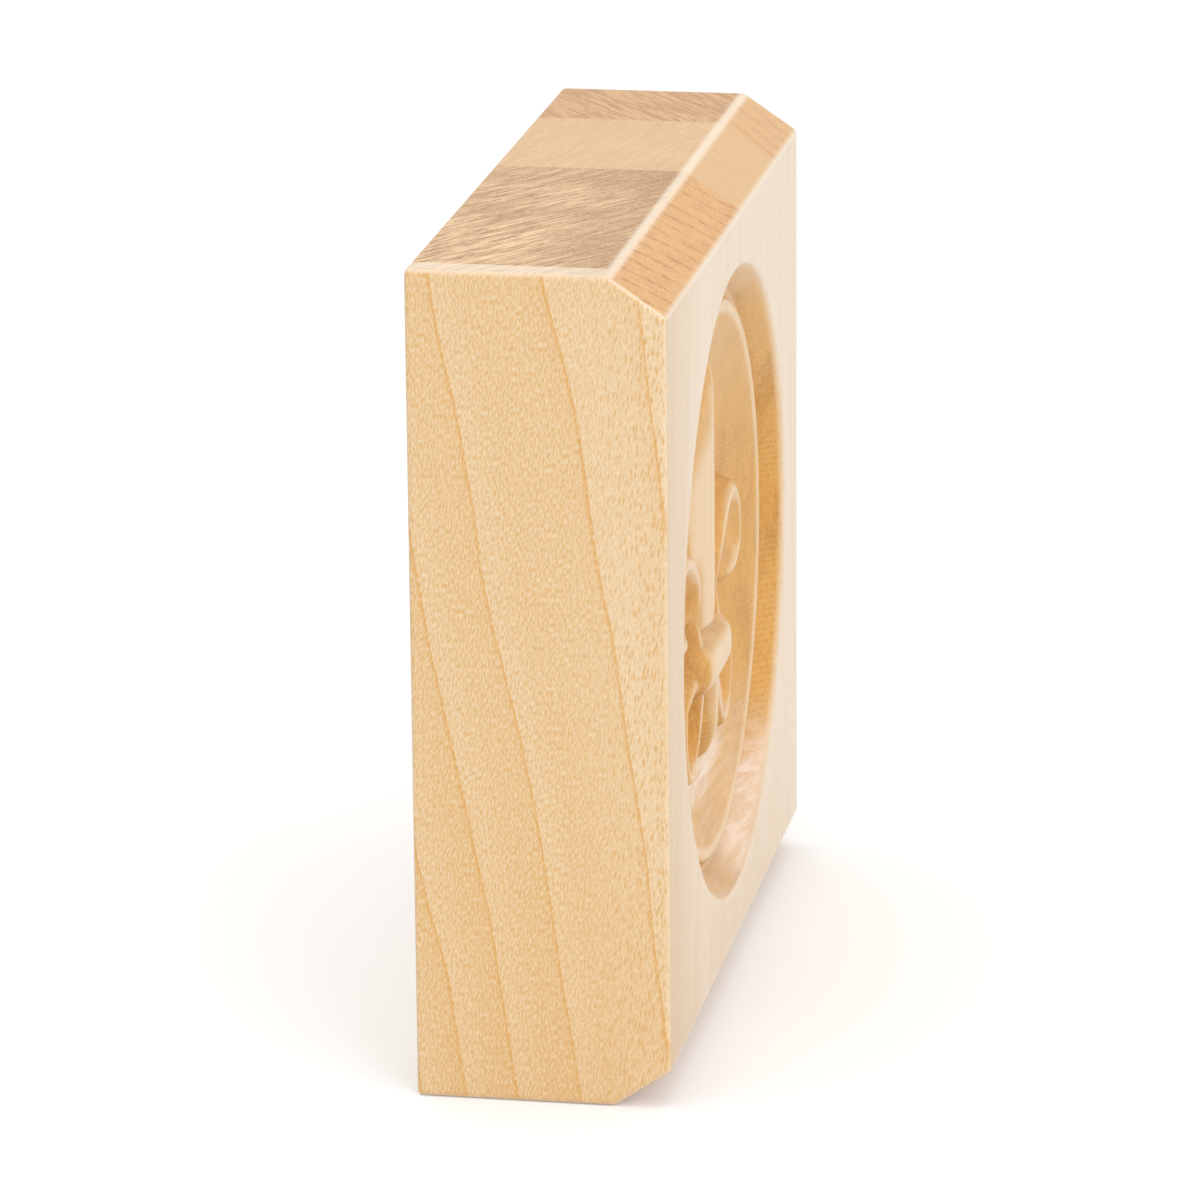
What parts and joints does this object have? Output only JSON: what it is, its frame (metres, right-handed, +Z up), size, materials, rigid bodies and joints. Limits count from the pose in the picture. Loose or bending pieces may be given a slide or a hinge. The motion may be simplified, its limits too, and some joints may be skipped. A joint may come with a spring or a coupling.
{
  "type": "corner rosette block",
  "caption": "Square hardwood corner block for door and window casing, bevelled at its ends, with a round carved recess, a beaded ring and a fleur-de-lis relief.",
  "frame": {"origin": "centre of the flat back face, behind the centre of the carving", "axes": "+Z up along the grain, +Y out of the back into the wall, +X to the right as one faces the carved front"},
  "size_m": [0.0888, 0.027, 0.0888],
  "materials": {
    "maple": "clear satin lacquer"
  },
  "bodies": {
    "root": {"left_stave": "maple", "middle_stave": "maple", "right_stave": "maple"}
  },
  "joints": []
}
